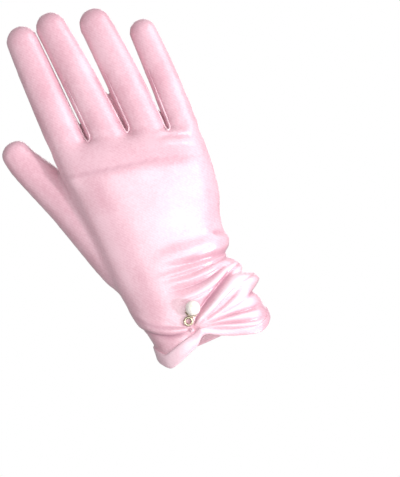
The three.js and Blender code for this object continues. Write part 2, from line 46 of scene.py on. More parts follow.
PALM_BREADTH = 87.0
PALM_DEPTH = 30.0
CUFF_HEIGHT = 50.0
KNUCKLE_HEIGHT = 129.0       # where the palm ends and the fingers part
KNUCKLE_SLOPE = 0.28
KNUCKLE_ROUND = 8.0
PALM_SHOULDER = KNUCKLE_HEIGHT - KNUCKLE_ROUND
PALM_FOOT = -14.0            # lower end of the palm's form, which is then cut open at the wrist
SQUARENESS = 2.2             # exponent of the sections
CUFF_SQUARENESS = 0.9        # what the cuff adds to it

VOXEL = 1.8                  # mesh size of the cloth, halved over the cuff, then over its folds
FINE_BELOW = 52.0
FINEST_BELOW = 34.0
CLOTH = 0.6                  # thickness of the satin
SPREAD = 4.2                 # how far neighbouring fingers are held apart while meshing
TUCK = 2.0                   # how far the cloth reaches in under the hem band
BEND_LENGTH = 30.0           # length over which the wrist's rim is bent down to the hem band
BLEND_HEIGHT = 34.0          # the cuff follows its sections exactly up to here,
BLEND_LENGTH = 20.0          # and the relaxed skin after this length
FOLDS_HEIGHT = 52.0          # the folds keep their height up to here,
FOLDS_FADE = 9.0             # and are gone after this length

# The palm melts into the fingers from one height to the other, measured down the slope of the
# knuckles, and beside the crotches it reaches further up. The index melts into the palm's side.
MELT_FROM = 104.0
MELT_TO = 123.0
MELT_EDGE = 8.0
MELT_REACH = 5.0
MELT_ROUNDS = 35
SIDE_MIDDLE = (-36.0, 104.0)
SIDE_RADIUS = 18.0
SIDE_ROUNDS = 15

GATHER = (-8.9, 6.5)         # where the cuff is gathered under the pearl
GATHER_RADIUS = 4.0          # radius and depth of the pit there
GATHER_DEPTH = 1.3
GATHER_CLEAR = 5.0           # how far from it the folds have their full height
RIDGE_POWER = 3.2            # exponents of the folds' sections, round and sharp
CREASE_POWER = 1.25
CREASE_WIDTH = 0.8           # share of the widths in the tables of creases
GROOVE_POWER = 1.6
PALM_FADE = 22.0             # on the palm, the folds fade to its middle over this length
BACK_EDGE = 4.0              # how far behind the middle of its depth the hand's back ends
BACK_LOW = 80.0              # the back's wrinkles lie above this height

FINGER_ROOT = 0.35           # how much thinner a finger is where it leaves the palm
DROOP = 5.0                  # how far the fingers sink away from the back of the hand
DROOP_LENGTH = 80.0
DROOP_HEIGHT = 109.0         # they sink from the crease over the knuckles, at x = 0,
DROOP_SLOPE = 0.273          # along its slope,
DROOP_STEP = 0.5             # and with this step at once

SEAM_INSET = (0.9, 2.3)      # from a gap's left and right edge to the seam of its fourchette
SEAM_DROP = 1.8              # how far the seam passes under the crotch
SEAM_BEND = 4.0              # height of its turn there
SEAM_LENGTH = 38.0           # how far it runs up the fingers
SEAM_CORD = 0.6              # radius of its welt
SEAM_LIFT = 0.15             # how far the welt's middle lies over the satin
GROOVE_WIDTH = 0.8           # half width and depth of the grooves beside it
GROOVE_DEPTH = 0.5

PEARL_RADIUS = 4.5
PEARL_MIDDLE = (-3.0, -24.09, 18.0)
CAP_GAP = 0.12               # between the pearl and its cap
CAP_EYE = (-6.99, -20.48, 13.58)
EYE_RADIUS = 0.95
EYE_WIRE = 0.3
BEAD_COUNT = 14              # beads round the cap's rim, their size and their circle
BEAD_RADIUS = 0.42
BEAD_CIRCLE = 3.3
BEAD_HEIGHT = 3.62
RING_MIDDLE = (-8.6, -20.48, 11.8)
RING_RADIUS = 2.25
RING_WIRE = 0.8

# Colours, and shares of what makes them uneven
SATIN = (0.79, 0.468, 0.548)
SATIN_ROUGHNESS = 0.31
WEAVE_SHARE = 0.22           # of the weave's lines against the grain, in colour
GRAIN_LEVEL = 0.13           # what is taken off so that lines and grain even out
GRAIN_SHARE = 0.6            # of lines and grain against the soft patches
WEAVE_HEIGHT = 0.35          # of the weave's lines against the grain, in relief
PAINTED_SHADING_SHARE = 0.86            # share of the painted highlight on crests and of the painted shade in creases
SATIN_DUSKY = (0.92, 0.85, 0.87)     # shares of the base colour in its duskiest patches
SATIN_PALE = (1.06, 1.14, 1.12)      # and in its palest ones
# Colours of the painted shade in the creases and of the painted highlight on the crests
PAINTED_SHADE_COLOUR = (0.48, 0.22, 0.30)
PAINTED_HIGHLIGHT_COLOUR = (0.93, 0.77, 0.84)
# The welts' satin is paler than the glove's: a painted highlight along the seams
WELT_PAINTED_HIGHLIGHT = (0.86, 0.59, 0.66)
THREAD = (0.84, 0.56, 0.64)
GOLD = (0.72, 0.64, 0.46)
GOLD_STOPS = [(0.35, (0.40, 0.34, 0.23)), (0.65, (0.72, 0.66, 0.50))]
NACRE = (0.86, 0.84, 0.74)
NACRE_STOPS = [(0.30, (0.70, 0.74, 0.62)), (0.42, (0.92, 0.92, 0.82)), (0.52, (0.95, 0.92, 0.86)),
               (0.62, (0.84, 0.74, 0.72)), (0.74, (0.74, 0.80, 0.66))]

# Sections: z, left, right, depth of the back, depth of the palm, as shares of the hand's sizes
SECTIONS = np.array([
    [-0.080, -0.395, 0.400, 0.660, 0.630],
    [-0.020, -0.400, 0.420, 0.660, 0.630],
    [0.030, -0.388, 0.405, 0.650, 0.625],
    [0.095, -0.412, 0.378, 0.640, 0.620],
    [0.135, -0.435, 0.348, 0.620, 0.610],
    [0.180, -0.450, 0.325, 0.605, 0.605],
    [0.235, -0.460, 0.376, 0.588, 0.610],
    [0.300, -0.462, 0.412, 0.580, 0.610],
    [0.360, -0.460, 0.465, 0.572, 0.595],
    [0.445, -0.465, 0.502, 0.558, 0.550],
    [0.515, -0.475, 0.518, 0.535, 0.490],
    [0.600, -0.485, 0.530, 0.450, 0.410],
]) * (HAND_LENGTH, PALM_BREADTH, PALM_BREADTH, PALM_DEPTH, PALM_DEPTH)

# Lower edge of the hem: turn in degrees from the middle of the back of the hand to the little
# finger, height, and the height of the hem band over it
HEM = np.array([
    [-110, -3.0, 9.0], [-90, -2.0, 9.0], [-72, -5.5, 9.0], [-57, -9.2, 9.2], [-42, -8.3, 9.2],
    [-27, -5.9, 8.6], [-15, -3.3, 7.2], [-6, 0.7, 4.6], [6, -4.0, 4.6], [20, -8.0, 4.7],
    [45, -11.9, 4.6], [64, -10.5, 4.8], [84, -6.0, 5.4], [105, -4.5, 7.0], [140, -5.0, 8.6],
    [180, -5.5, 9.0], [220, -4.5, 9.0], [250, -3.0, 9.0],
])

# Fingers: x, y, z, width and depth at the root, the middle and the tip, as shares
FINGERS = [
    ((-0.347, -0.342, -0.331), (-0.03, 0.08, 0.42), (0.455, 0.728, 1.006),
     (0.262, 0.258, 0.212), (0.82, 0.63, 0.46)),
    ((-0.069, -0.081, -0.117), (-0.04, 0.07, 0.42), (0.510, 0.755, 1.007),
     (0.267, 0.250, 0.204), (0.82, 0.62, 0.47)),
    ((0.190, 0.196, 0.173), (-0.03, 0.09, 0.46), (0.490, 0.725, 0.966),
     (0.256, 0.252, 0.214), (0.80, 0.60, 0.46)),
    ((0.408, 0.447, 0.459), (0.00, 0.12, 0.46), (0.455, 0.668, 0.881),
     (0.205, 0.212, 0.184), (0.68, 0.54, 0.42)),
]
FINGER_SIZES = (PALM_BREADTH, PALM_DEPTH, HAND_LENGTH, PALM_BREADTH, PALM_DEPTH)
CROTCHES = [(-17.9, 136.1), (5.4, 131.1), (28.4, 121.8)]     # x and z where the fingers part
GAPS = list(zip(FINGERS, FINGERS[1:], CROTCHES))
WEB_TOPS = (147.0, 157.0, 133.0)     # how high the fourchettes close the gaps
WEB_WIDTH = 4.0

# Thumb, from inside the palm to its tip: x, y, z, width and depth, as shares
THUMB = np.array([
    [-0.215, 0.12, 0.170, 0.390, 0.80],
    [-0.285, 0.16, 0.235, 0.405, 0.86],
    [-0.350, 0.22, 0.310, 0.400, 0.88],
    [-0.430, 0.31, 0.400, 0.360, 0.82],
    [-0.518, 0.39, 0.495, 0.310, 0.72],
    [-0.608, 0.45, 0.580, 0.268, 0.62],
    [-0.682, 0.48, 0.650, 0.225, 0.53],
    [-0.722, 0.50, 0.717, 0.185, 0.46],
]) * FINGER_SIZES

# Folds of the cuff as chains of points: u, z, half width, height. u is x as seen from the back
# of the hand and runs on round its edges. Ridges are round, creases are sharp and sink.
RIDGES = [
    # ridges across the wrist
    [(33, 38.6, 1.2, 0.5), (25, 38.2, 1.2, 0.9), (15, 38.3, 1.2, 0.9), (0, 40.2, 1.4, 0.6),
     (-8, 41.5, 1.6, 0.3), (-15, 42.5, 1.6, 0.0)],
    [(44, 30.0, 5.6, 4.8), (34, 30.8, 5.6, 4.8), (29.5, 31.8, 5.2, 4.2), (24, 35.0, 2.4, 1.3),
     (14, 34.2, 1.9, 1.1), (4, 34.0, 1.9, 0.9), (-4, 35.4, 2.2, 0.5), (-13, 37.2, 2.4, 0.0)],
    [(29, 34.5, 1.6, 0.6), (24.5, 31, 1.9, 1.3), (18, 27.8, 2.0, 1.4), (10, 25.6, 2.0, 1.2),
     (2, 25.0, 2.0, 0.8), (-5, 25.8, 2.2, 0.4), (-12, 27.4, 2.4, 0.0)],
    [(14, 23.4, 1.3, 0.4), (8, 21.8, 1.4, 0.6), (0, 21.6, 1.4, 0.5), (-6, 21.8, 1.6, 0.2),
     (-10, 22.2, 1.6, 0.0)],
    # the fan of ridges from the gather
    [(46, 18.5, 6.0, 8.0), (37, 19.2, 6.0, 8.0), (32, 20.0, 5.4, 6.8), (27, 21.4, 3.6, 3.0),
     (18, 18.4, 2.3, 2.0),
     (8, 13.9, 1.7, 1.7), (-1, 10.2, 1.4, 1.2), (-7, 7.3, 1.0, 0.4)],
    [(33, 14.8, 2.2, 0.6), (27, 13.2, 2.5, 1.5), (16, 10.6, 1.8, 1.4), (6, 8.6, 1.3, 1.1),
     (-5, 7.0, 0.9, 0.4)],
    [(40, 6.0, 4.2, 0.6), (31, 7.0, 3.0, 1.0), (20, 6.9, 1.8, 1.3), (8, 6.9, 1.2, 1.0),
     (-4, 6.5, 0.9, 0.4)],
    [(40, -2.0, 3.4, 0.3), (30, -1.2, 2.4, 0.9), (20, 1.4, 1.6, 1.3), (8, 4.2, 1.1, 0.9),
     (-4, 5.8, 0.8, 0.3)],
    [(36, -6.5, 1.8, 0.4), (28, -6.0, 1.5, 0.9), (17, -2.6, 1.3, 0.9), (6, 2.2, 1.0, 0.7),
     (-4, 5.2, 0.8, 0.3)],
    # the thumb's side
    [(-42, 34, 3.2, 0.3), (-37, 25, 3.6, 1.3), (-30, 17.4, 3.6, 1.8), (-22, 11.8, 2.8, 1.8),
     (-15, 8.8, 1.8, 1.2), (-10.5, 7.2, 1.0, 0.4)],
    # the gathers going on round the palm's side
    [(46, 18.5, 6.0, 8.0), (56, 17.5, 5.2, 6.0), (70, 17.5, 4.0, 2.6), (96, 21.0, 3.6, 0.3)],
    [(44, 30.0, 5.6, 4.8), (56, 31.0, 4.6, 3.6), (70, 33.0, 3.4, 1.6), (91, 35.0, 3.4, 0.2)],
    [(40, -2.0, 3.4, 0.3), (56, 1.0, 3.4, 1.2), (74, 6.0, 3.6, 1.0), (91, 7.0, 3.6, 0.2)],
    [(40, 6.0, 4.2, 0.6), (58, 8.5, 3.4, 1.0), (80, 12.0, 3.0, 0.1)],
]
CREASES = [
    # under the heel of the hand
    [(38, 38.6, 1.2, 0.6), (28, 39.0, 1.2, 0.7), (20, 39.9, 1.3, 0.8), (10, 41.9, 1.4, 0.6),
     (0, 44.2, 1.4, 0.3), (-8, 46.4, 1.4, 0.0)],
    [(32, 37.0, 1.0, 0.8), (22, 36.7, 0.9, 0.7), (10, 36.8, 0.9, 0.5), (0, 38.0, 1.0, 0.0)],
    [(29, 32.8, 1.2, 0.3), (20, 31.2, 1.6, 0.9), (10, 29.8, 1.7, 1.0), (0, 30.2, 1.6, 0.6),
     (-8, 31.6, 1.7, 0.3), (-15, 33.4, 1.7, 0.0)],
    [(25.5, 53.6, 1.1, 0.0), (28.2, 52.8, 1.4, 1.1), (30.6, 52.2, 1.4, 0.9), (33, 51.8, 1.1, 0.0)],
    # the deep valley beside the fan
    [(30.5, 31.4, 1.0, 0.4), (27, 28.2, 1.5, 1.8), (17, 23.2, 1.9, 2.6), (10, 20.0, 1.9, 2.6),
     (4, 17.0, 1.7, 2.2), (-3, 12.6, 1.3, 1.4), (-7, 9.0, 0.9, 0.4)],
    # creases between the ridges of the fan
    [(36, 21.0, 0.8, 0.3), (29, 20.2, 0.9, 0.6), (20, 16.8, 0.9, 0.6), (11, 12.8, 0.8, 0.3)],
    [(25, 15.6, 1.1, 0.2), (21, 13.6, 1.3, 1.2), (12, 10.6, 1.2, 1.3), (3, 8.8, 1.0, 1.0),
     (-4, 7.6, 0.8, 0.4)],
    [(44, 12.6, 1.8, 2.6), (37, 12.4, 1.6, 2.4), (32, 11.0, 1.1, 1.0), (28, 8.8, 0.9, 0.2)],
    [(33.5, 3.4, 1.0, 0.3), (29, 2.6, 1.2, 1.3), (20, 4.2, 1.1, 1.3), (10, 5.5, 1.0, 1.0),
     (-2, 6.2, 0.8, 0.4)],
    [(33, -5.0, 0.9, 0.2), (27, -4.4, 1.1, 0.9), (17, -0.6, 1.0, 1.0), (5, 3.6, 0.9, 0.8),
     (-3, 5.5, 0.8, 0.3)],
    # the thumb's side
    [(-37, 20.5, 1.2, 0.2), (-34, 17.0, 1.4, 0.9), (-28, 11.6, 1.5, 1.3), (-22, 8.2, 1.4, 1.4),
     (-16, 6.9, 1.1, 1.0), (-11, 6.5, 0.9, 0.4)],
    [(-37, 29, 1.3, 0.2), (-33, 22.8, 1.4, 0.5), (-27, 17.2, 1.4, 0.6), (-18, 12.2, 1.2, 0.5),
     (-10, 8.8, 0.9, 0.2)],
]

# The heel of the hand rolls over the wrist: u, z of the lower edge, height
HEEL = np.array([
    [-14, 47.5, 0.0], [-6, 45.6, 0.35], [0, 44.2, 0.7], [10, 42.0, 1.2], [20, 40.0, 1.9],
    [29, 38.4, 3.3], [40, 38.0, 3.4], [52, 39.0, 2.4], [66, 41.0, 1.2], [80, 43.0, 0.0],
])
HEEL_RISE = 4.8              # how far over its edge it has its full height
HEEL_TOP = 7.4               # from where and how quickly it fades again
HEEL_FALL = 5.0

# Painted shading of the cuff: a ridge so high has the full painted highlight, a crease so deep the
# full painted shade, and the painted shade under the heel and on the little finger's side has
# these shares
FULL_HIGHLIGHT_RIDGE = 1.6
FULL_SHADE_CREASE = 1.1
HEEL_PAINTED_SHADE = 0.6
SIDE_PAINTED_SHADE = 0.32

# Creases and wrinkles of the back of the hand: x, z, half width, height
BACK_CREASES = [
    [(-44, 121.5, 1.1, 0.0), (-30, 118, 1.2, 0.3), (-13, 113.5, 1.2, 0.4), (5, 109.6, 1.2, 0.4),
     (22, 104.4, 1.2, 0.35), (36, 99, 1.2, 0.3), (46, 96, 1.2, 0.0)],
    [(20, 119.6, 1.1, 0.0), (27, 117.2, 1.2, 0.6), (36, 113.0, 1.2, 0.6), (45, 108.6, 1.2, 0.3)],
]
BACK_RIDGES = [
    [(18, 122.6, 1.6, 0.0), (26, 120.4, 1.9, 1.1), (36, 115.8, 1.9, 1.1), (45, 111.6, 1.8, 0.5)],
    [(18, 117.2, 1.6, 0.0), (26, 114.6, 1.9, 1.0), (36, 110.0, 1.9, 1.0), (45, 105.6, 1.8, 0.4)],
]

# Profile of the hem band: share of its height, and how far it stands out from the cuff there
BAND_PROFILE = [
    (0.02, -0.2), (-0.02, 0.2), (-0.01, 0.6), (0.03, 0.92), (0.09, 1.12), (0.18, 1.2),
    (0.3, 1.24), (0.45, 1.26), (0.6, 1.26), (0.75, 1.22), (0.86, 1.12), (0.93, 0.92),
    (0.975, 0.6), (1.0, 0.2), (0.99, -0.3), (0.9, -0.75), (0.7, -0.8), (0.4, -0.8),
    (0.15, -0.75), (0.05, -0.55),
]
HEM_PAINTED_HIGHLIGHT = 0.45              # painted highlight on its front on the thumb's side

# Places of the colour sockets of a mix node
MIX_FROM, MIX_TO, MIX_RESULT = 6, 7, 2


def smooth(t):
    """A share held between 0 and 1, with gentle ends."""
    t = np.clip(t, 0.0, 1.0)
    return t * t * (3.0 - 2.0 * t)


def rising(value, start, length):
    """Grows from 0 at start to 1 after a length."""
    return smooth((value - start) / length)


def falling(value, start, length):
    """Sinks from 1 at start to 0 after a length."""
    return 1 - rising(value, start, length)


def along(keys, values, at):
    """A smooth curve through the rows of a table, at an array of places."""
    at = np.clip(np.asarray(at, float), keys[0], keys[-1])
    i = np.clip(np.searchsorted(keys, at, side="right"), 1, len(keys) - 1)
    slopes = np.empty(len(keys))
    slopes[1:-1] = (values[2:] - values[:-2]) / (keys[2:] - keys[:-2])
    slopes[0] = (values[1] - values[0]) / (keys[1] - keys[0])
    slopes[-1] = (values[-1] - values[-2]) / (keys[-1] - keys[-2])
    span = keys[i] - keys[i - 1]
    t = (at - keys[i - 1]) / span
    a, b = values[i - 1], values[i]
    m, n = slopes[i - 1] * span, slopes[i] * span
    return a + m * t + (3 * (b - a) - 2 * m - n) * t ** 2 + (m + n - 2 * (b - a)) * t ** 3


def through(three, t):
    """A parabola through three values at shares 0, a half and 1."""
    a, b, c = three
    return a * (1 - t) * (1 - 2 * t) + 4 * b * t * (1 - t) + c * t * (2 * t - 1)


def powered(value, exponent):
    return np.sign(value) * np.abs(value) ** exponent


def full_turn(count):
    return np.linspace(0, 2 * math.pi, count, endpoint=False)


def squareness(z):
    """The gathered cuff is flatter in front than the hand."""
    return SQUARENESS + CUFF_SQUARENESS * falling(z, 18, 24)


def section(z):
    return [along(SECTIONS[:, 0], SECTIONS[:, k], z) for k in (1, 2, 3, 4)]


def chain(rows, steps=6):
    """The rows of a fold with smooth rows between them."""
    rows = np.array(rows, float)
    place = np.arange(len(rows))
    fine = np.linspace(0, len(rows) - 1, steps * (len(rows) - 1) + 1)
    return np.stack([along(place, rows[:, k], fine) for k in range(4)], axis=-1)


def line_height(line, u, z, power):
    """Height at places (u, z) of one fold, whose section is exp(-(distance / width) ** power)."""
    nearest = np.full(u.shape, np.inf)
    value = np.zeros(u.shape)
    for a, b in zip(line[:-1], line[1:]):
        du, dz = b[0] - a[0], b[1] - a[1]
        s = np.clip(((u - a[0]) * du + (z - a[1]) * dz) / (du * du + dz * dz), 0.0, 1.0)
        away = np.hypot(u - a[0] - s * du, z - a[1] - s * dz)
        width = a[2] + (b[2] - a[2]) * s
        height = (a[3] + (b[3] - a[3]) * s) * np.exp(-(away / width) ** power)
        closer = away < nearest
        nearest = np.where(closer, away, nearest)
        value = np.where(closer, height, value)
    return value


def folds(u, z, ridges, creases):
    """Heights of the ridges and depths of the creases at places (u, z)."""
    high = np.zeros(u.shape)
    deep = np.zeros(u.shape)
    for rows in ridges:
        high = np.maximum(high, line_height(chain(rows), u, z, RIDGE_POWER))
    for rows in map(np.array, creases):
        narrowed = chain(rows * (1, 1, CREASE_WIDTH, 1))
        deep = np.maximum(deep, line_height(narrowed, u, z, CREASE_POWER))
    return high, deep


def heel_height(u, rise):
    """Height of the heel of the hand, at a rise above its lower edge."""
    height = along(HEEL[:, 0], HEEL[:, 2], u) * smooth(rise / HEEL_RISE)
    return height * np.exp(-(np.maximum(rise - HEEL_TOP, 0) / HEEL_FALL) ** 2)


def cuff_painted_shading(u, z, rise, high, deep):
    """Painted highlight (1) on the ridges of the fan, painted shade (-1) in the creases, under the
    heel and in part on the little finger's side."""
    # Painted highlight on the fan's ridges
    pale = np.clip(high / FULL_HIGHLIGHT_RIDGE, 0, 1) * rising(u, -8, 6) * falling(z, 30, 6)
    under_heel_shade = smooth(u / 10) * np.exp(-((rise - 2.2) / 1.8) ** 2)
    side = rising(u, 27, 8) * falling(z, 34, 5)
    # Painted shade in the creases, under the heel and on the little finger's side
    dusky = np.clip(deep / FULL_SHADE_CREASE + HEEL_PAINTED_SHADE * under_heel_shade + SIDE_PAINTED_SHADE * side, 0, 1)
    return pale * (1 - 0.9 * side) - dusky


def cuff_height(u, z):
    """Height of the cuff's folds over its smooth form, and their painted highlight or painted
    shade.
    """
    away = np.hypot(u - GATHER[0], z - GATHER[1])
    high, deep = (height * smooth(away / GATHER_CLEAR)
                  for height in folds(u, z, RIDGES, CREASES))
    rise = z - along(HEEL[:, 0], HEEL[:, 1], u)
    pit = GATHER_DEPTH * np.exp(-(away / GATHER_RADIUS) ** 2)
    return heel_height(u, rise) + high - deep - pit, cuff_painted_shading(u, z, rise, high, deep)


def hand_point(turn, z, grow=0.0):
    """Points of the smooth palm and cuff at angles turn and heights z."""
    left, right, back, palm = section(z)
    depth = np.where(np.cos(turn) > 0, back, palm) + grow
    exponent = 2 / squareness(z)
    out = ((right - left) / 2 + grow) * powered(np.sin(turn), exponent)
    fore = -depth * powered(np.cos(turn), exponent)
    return np.stack([(left + right) / 2 + out, fore, z], axis=-1)


def folded_point(turn, z, grow=0.0):
    """Points of the cuff with its folds, and their painted highlight (1) or painted shade (-1)."""
    left, right, _, _ = section(z)
    points = hand_point(turn, z, grow)
    middle = (left + right) / 2
    out, fore = points[..., 0] - middle, points[..., 1]
    round_the_edge = 2 * np.where(out > 0, right, left) - points[..., 0]
    u = np.where(fore < 0, points[..., 0], round_the_edge)
    height, painted_shading = cuff_height(u, z)
    fade = np.where(fore < 0, 1.0, smooth(np.abs(out) / PALM_FADE))
    height, painted_shading = height * fade, painted_shading * fade
    scale = 1 + height / np.maximum(np.hypot(out, fore), 1e-6)
    return np.stack([middle + out * scale, fore * scale, z], axis=-1), painted_shading


def hem_table(turn, column):
    """A column of the hem's table at angles turn of the cuff, whose section is squarer."""
    sine = powered(np.sin(turn), SQUARENESS / squareness(0))
    turn = np.arctan2(sine, np.sign(np.cos(turn)) * np.sqrt(1 - sine ** 2))
    first = -HEM[0, 0]
    return along(HEM[:, 0], HEM[:, column], (np.degrees(turn) + first) % 360 - first)


def hem_height(turn):
    return hem_table(turn, 1)


def band_top(turn):
    return hem_table(turn, 1) + hem_table(turn, 2)


def link(name, mesh):
    piece = bpy.data.objects.new(name, mesh)
    bpy.context.scene.collection.objects.link(piece)
    return piece


def shade_smooth(mesh):
    mesh.polygons.foreach_set("use_smooth", [True] * len(mesh.polygons))


def mesh_from(name, points, faces):
    mesh = bpy.data.meshes.new(name)
    mesh.from_pydata((np.asarray(points) * MM).tolist(), [], [tuple(f) for f in faces])
    mesh.update()
    shade_smooth(mesh)
    return mesh


def quads(rows, count, first=0, closed=False):
    """Faces between rows of count points, each row closed on itself, and if closed also between
    the last row and the first."""
    faces = []
    for i in range(rows if closed else rows - 1):
        low, high = first + i * count, first + (i + 1) % rows * count
        for j in range(count):
            k = (j + 1) % count
            faces.append((low + j, low + k, high + k, high + j))
    return faces


def skin(rings, tip=None):
    """Points and faces of a closed form over rings of points."""
    rings = np.asarray(rings)
    rows, count = rings.shape[:2]
    ends = [rings[0].mean(axis=0), rings[-1].mean(axis=0) if tip is None else tip]
    foot, head = rows * count, rows * count + 1
    last = foot - count
    faces = quads(rows, count)
    for j in range(count):
        k = (j + 1) % count
        faces.append((foot, k, j))
        faces.append((last + j, last + k, head))
    return np.concatenate([rings.reshape(-1, 3), ends]), faces


def palm_ring(z, inset=0.0):
    """A ring of the palm, which the slope of the knuckles tilts more and more."""
    turn = full_turn(120)
    points = hand_point(turn, np.full(turn.shape, float(z)), -inset)
    ramp = np.clip((z - CUFF_HEIGHT) / (PALM_SHOULDER - CUFF_HEIGHT), 0, 1)
    points[:, 2] -= KNUCKLE_SLOPE * points[:, 0] * ramp
    return points


def palm_form():
    """The palm and the cuff, rounded over at the knuckles."""
    rings = [palm_ring(z) for z in np.linspace(PALM_FOOT, PALM_SHOULDER, 46)]
    rings += [palm_ring(PALM_SHOULDER + KNUCKLE_ROUND * math.sin(angle),
                        KNUCKLE_ROUND * (1 - math.cos(angle)))
              for angle in np.radians(range(15, 91, 15))]
    return skin(rings)


def tube_ring(at, share, thin, shrink):
    """One ellipse across a finger or thumb."""
    x, y, z, width, depth = at(share)
    before, after = at(share - 0.02), at(share + 0.02)
    lean = math.atan2(after[0] - before[0], after[2] - before[2])
    turn = full_turn(36)
    out = width * thin / 2 * shrink * np.sin(turn)
    fore = -depth * thin / 2 * shrink * np.cos(turn)
    return np.stack([x + out * math.cos(lean), y + fore, z - out * math.sin(lean)], axis=-1)


def tube(at, length, root=0.0):
    """A finger or thumb, rounded to its tip, and thinner by a share at its root. At gives its
    middle, width and depth at a share of its length."""
    x, y, z, width, _ = at(1.0)
    round_off = width / 2
    shares = list(np.linspace(0, 1 - round_off / length, 26))
    shares += [1 - round_off / length * (1 - math.sin(math.radians(a)))
               for a in (12, 24, 36, 47, 57, 66, 74, 81)]
    rings = []
    for share in shares:
        away = (1 - share) * length
        shrink = math.sqrt(1 - (1 - away / round_off) ** 2) if away < round_off else 1.0
        rings.append(tube_ring(at, share, 1 - root * falling(share, 0, 0.2), shrink))
    return skin(rings, (x, y, z))


def finger_at(finger, t):
    return [through(three, t) * size for three, size in zip(finger, FINGER_SIZES)]


def thumb_at(t):
    places = np.linspace(0, 1, len(THUMB))
    values = [float(along(places, THUMB[:, k], t)) for k in range(5)]
    past = max(t - 1, 0) * (len(THUMB) - 1)
    values[0] += past * (THUMB[-1, 0] - THUMB[-2, 0])
    values[2] += past * (THUMB[-1, 2] - THUMB[-2, 2])
    return values


def finger_edge(finger, z, side):
    """Where the edge of a finger lies at heights z, on its right (side 1) or left (side -1)."""
    low, high = finger[2][0] * HAND_LENGTH, finger[2][2] * HAND_LENGTH
    x, _, _, width, _ = finger_at(finger, np.clip((z - low) / (high - low), 0, 1))
    return x + side * width / 2


def spread(points, way):
    """Opens the gaps between the fingers (way 1), or closes them again (way -1)."""
    x, z = points[:, 0], points[:, 2]
    moved = np.zeros(len(points))
    opened = np.zeros(len(points))
    for a, b, (_, low) in GAPS:
        left, right = finger_edge(a, z, 1), finger_edge(b, z, -1)
        right = np.maximum(right, left + 0.3)
        wide = SPREAD * smooth((z - low + 5) / 9)
        if way > 0:
            moved += wide * np.clip((x - left) / (right - left), 0, 1)
        else:
            moved += wide * np.clip((x - left - opened) / (right - left + wide), 0, 1)
            opened += wide
    points[:, 0] = x + way * moved
    return points


def web(x, z, y=0.0, depth=9.0, half=7.0):
    """The web between two fingers, an egg that fills their gap up to the height z."""
    turn = full_turn(24)
    rings = []
    for rise in np.radians(np.linspace(-80, 80, 17)):
        out = WEB_WIDTH * math.cos(rise) * np.sin(turn)
        fore = depth * math.cos(rise) * np.cos(turn)
        level = np.full(turn.shape, z + half * (math.sin(rise) - 1))
        rings.append(np.stack([x + out, y - fore, level], axis=-1))
    return skin(rings, (x, y, z))


def deep_webs():
    """The fourchettes, which close the gaps behind the fingers' widest places."""
    webs = []
    for (a, b, (_, low)), top in zip(GAPS, WEB_TOPS):
        x = (finger_edge(a, (low + top) / 2, 1) + finger_edge(b, (low + top) / 2, -1)) / 2
        webs.append(web(float(x), top, 6.0, 4.5, (top - low + 8) / 2))
    return webs


def joined_form():
    """The forms of the palm, webs, fingers and thumb in one mesh, with the fingers held apart."""
    parts = [palm_form()] + [web(*crotch) for crotch in CROTCHES] + deep_webs()
    for finger in FINGERS:
        length = (finger[2][2] - finger[2][0]) * HAND_LENGTH
        parts.append(tube(lambda t, f=finger: finger_at(f, t), length, FINGER_ROOT))
    length = math.hypot(THUMB[-1, 0] - THUMB[0, 0], THUMB[-1, 2] - THUMB[0, 2])
    parts.append(tube(thumb_at, length))
    points, faces, start = [], [], 0
    for p, f in parts:
        points.append(spread(p, 1))
        faces += [tuple(v + start for v in face) for face in f]
        start += len(p)
    return np.concatenate(points), faces


def coordinates(mesh):
    flat = np.empty(len(mesh.vertices) * 3)
    mesh.vertices.foreach_get("co", flat)
    return flat.reshape(-1, 3) / MM


def set_coordinates(mesh, points):
    mesh.vertices.foreach_set("co", (points * MM).ravel())
    mesh.update()


def edges_of(mesh):
    flat = np.empty(len(mesh.edges) * 2, dtype=np.int64)
    mesh.edges.foreach_get("vertices", flat)
    return flat.reshape(-1, 2)


def relax(points, edges, rounds, back=-0.53):
    """Evens out the mesh. The step back in each round keeps it from shrinking."""
    count = np.maximum(np.bincount(edges.ravel(), minlength=len(points)), 1)[:, None]
    for _ in range(rounds):
        for step in (0.5, back):
            total = np.zeros_like(points)
            for k in range(3):
                total[:, k] = (np.bincount(edges[:, 0], points[edges[:, 1], k], len(points))
                               + np.bincount(edges[:, 1], points[edges[:, 0], k], len(points)))
            points = points + (total / count - points) * step
    return points


def melted(points, edges):
    """The skin with the palm melting into the fingers, and the index finger into its side."""
    x, z = points[:, 0], points[:, 2]
    above = z + KNUCKLE_SLOPE * x
    beside = np.min([np.abs(x - middle) for middle, _ in CROTCHES], axis=0)
    top = MELT_TO + MELT_REACH * smooth(beside / 9)
    share = rising(above, MELT_FROM, MELT_EDGE) * falling(above, top, MELT_EDGE)
    share *= rising(x, -44, 8) * falling(x, 35, 7)
    points = points + (relax(points, edges, MELT_ROUNDS, 0.0) - points) * share[:, None]
    x, z = points[:, 0], points[:, 2]
    away = np.hypot(x - SIDE_MIDDLE[0], z - SIDE_MIDDLE[1])
    share = falling(away, 0, SIDE_RADIUS) * rising(x, -46, 6)
    return points + (relax(points, edges, SIDE_ROUNDS, 0.0) - points) * share[:, None]


